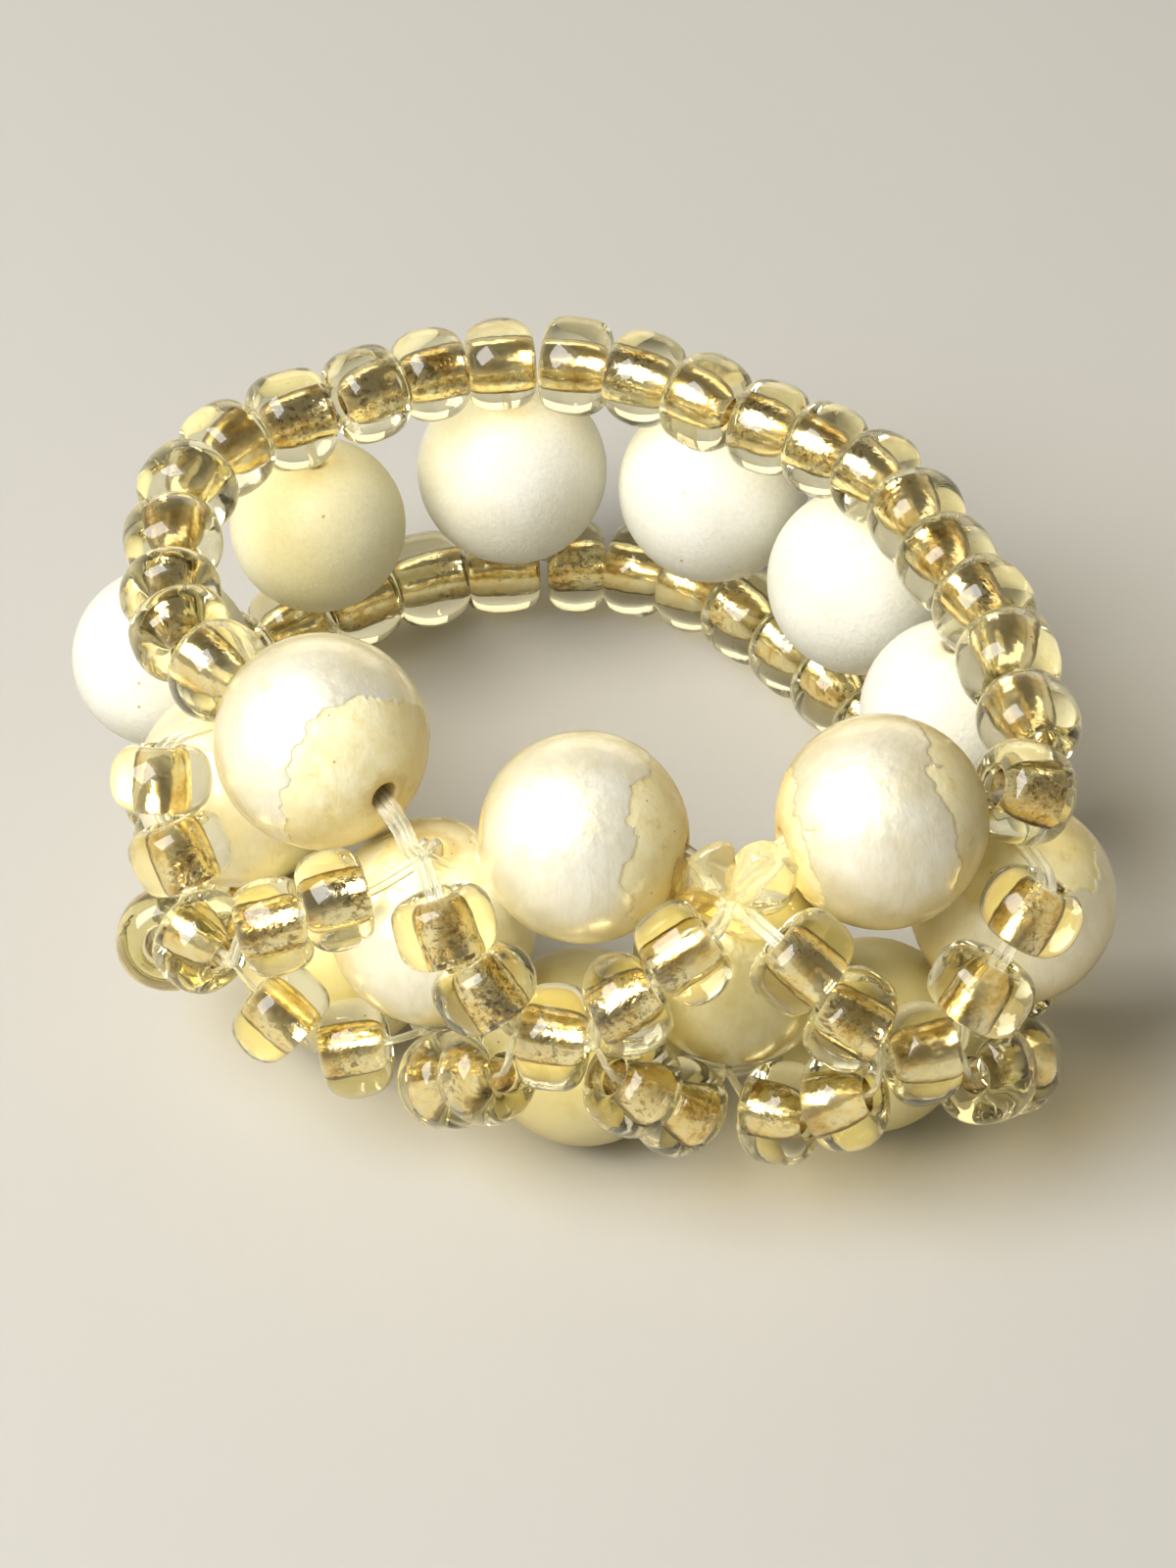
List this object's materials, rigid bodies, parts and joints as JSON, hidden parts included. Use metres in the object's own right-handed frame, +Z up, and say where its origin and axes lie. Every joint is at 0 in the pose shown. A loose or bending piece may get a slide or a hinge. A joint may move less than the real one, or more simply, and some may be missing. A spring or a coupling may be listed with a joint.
{
  "type": "beaded stretch ring",
  "caption": "Stretch ring woven from imitation pearls and lined glass seed beads on clear elastic thread, with a netted plaque in front and an open ladder band behind.",
  "frame": {"origin": "under the middle of the ring's bounding box, on the surface it lies on", "axes": "+Z up, through the finger hollow, whose own axis leans 3.3 degrees towards +Y; the netted plaque faces -Y and the plain band runs round +Y"},
  "size_m": [0.0332, 0.0292, 0.0152],
  "materials": {
    "pearl_matte": "bleached ivory white, fine grain and tiny pits",
    "pearl_coated": "pearlescent white coat, silky, peeled around the holes to a pale yellow base",
    "pearl_plain": "bare pale yellow cream plastic, satin",
    "seed_glass": "clear champagne glass with a worn silver-gold lining in the hole",
    "elastic_thread": "clear elastic monofilament, with clear glue on the knot"
  },
  "bodies": {
    "root": {"pearl_back_1": "pearl_matte", "pearl_back_2": "pearl_matte", "pearl_back_3": "pearl_matte", "pearl_back_4": "pearl_matte", "pearl_back_5": "pearl_matte", "pearl_back_6": "pearl_matte", "pearl_side_left": "pearl_coated", "pearl_side_right": "pearl_coated", "pearl_front_left": "pearl_coated", "pearl_front_right": "pearl_coated", "pearl_top_left": "pearl_coated", "pearl_top_middle": "pearl_coated", "pearl_top_right": "pearl_coated", "pearl_foot_left": "pearl_plain", "pearl_foot_middle": "pearl_plain", "pearl_foot_right": "pearl_plain", "edge_top_1": "seed_glass", "edge_top_2": "seed_glass", "edge_top_3": "seed_glass", "edge_top_4": "seed_glass", "edge_top_5": "seed_glass", "edge_top_6": "seed_glass", "edge_top_7": "seed_glass", "edge_turn_left": "seed_glass", "edge_turn_right": "seed_glass", "edge_foot_1": "seed_glass", "edge_foot_2": "seed_glass", "edge_foot_3": "seed_glass", "edge_foot_4": "seed_glass", "edge_foot_5": "seed_glass", "edge_foot_6": "seed_glass", "edge_foot_7": "seed_glass", "net_left_centre": "seed_glass", "net_left_upper_left": "seed_glass", "net_left_upper_right": "seed_glass", "net_left_lower_left": "seed_glass", "net_left_lower_right": "seed_glass", "net_middle_centre": "seed_glass", "net_middle_upper_left": "seed_glass", "net_middle_upper_right": "seed_glass", "net_middle_lower_left": "seed_glass", "net_middle_lower_right": "seed_glass", "net_right_centre": "seed_glass", "net_right_upper_left": "seed_glass", "net_right_upper_right": "seed_glass", "net_right_lower_left": "seed_glass", "net_right_lower_right": "seed_glass", "thread_post_side_left": "elastic_thread", "thread_post_back_1": "elastic_thread", "thread_post_back_2": "elastic_thread", "thread_post_back_3": "elastic_thread", "thread_post_back_4": "elastic_thread", "thread_post_back_5": "elastic_thread", "thread_post_back_6": "elastic_thread", "thread_post_side_right": "elastic_thread", "thread_post_front_right": "elastic_thread", "thread_post_front_left": "elastic_thread", "thread_plaque_top": "elastic_thread", "thread_plaque_foot": "elastic_thread"}
  },
  "joints": []
}
